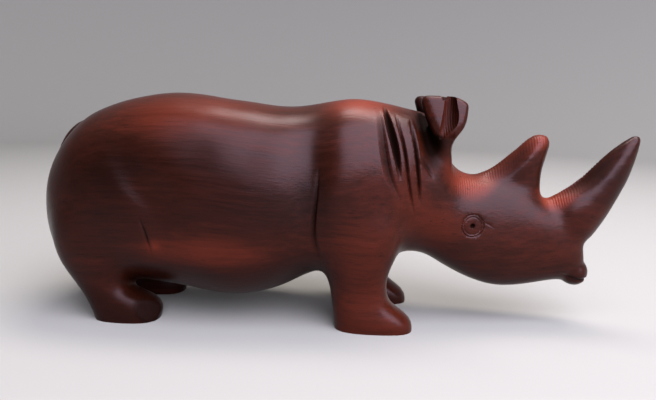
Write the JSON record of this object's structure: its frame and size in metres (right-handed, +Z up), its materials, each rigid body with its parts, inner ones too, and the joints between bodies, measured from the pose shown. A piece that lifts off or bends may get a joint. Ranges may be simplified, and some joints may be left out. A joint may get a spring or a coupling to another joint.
{
  "type": "rhinoceros figurine",
  "caption": "Carved hardwood rhinoceros standing on its own feet, head lowered, with curved horns and upright hollowed ears, for display on a shelf or desk.",
  "frame": {"origin": "on the surface that the figurine stands on, under the middle of its length and width", "axes": "+X from tail to horns, +Y towards the rhinoceros's left side, +Z up"},
  "size_m": [0.301, 0.0834, 0.1146],
  "materials": {
    "wood": "satin"
  },
  "bodies": {
    "root": {"rhinoceros": "wood"}
  },
  "joints": []
}
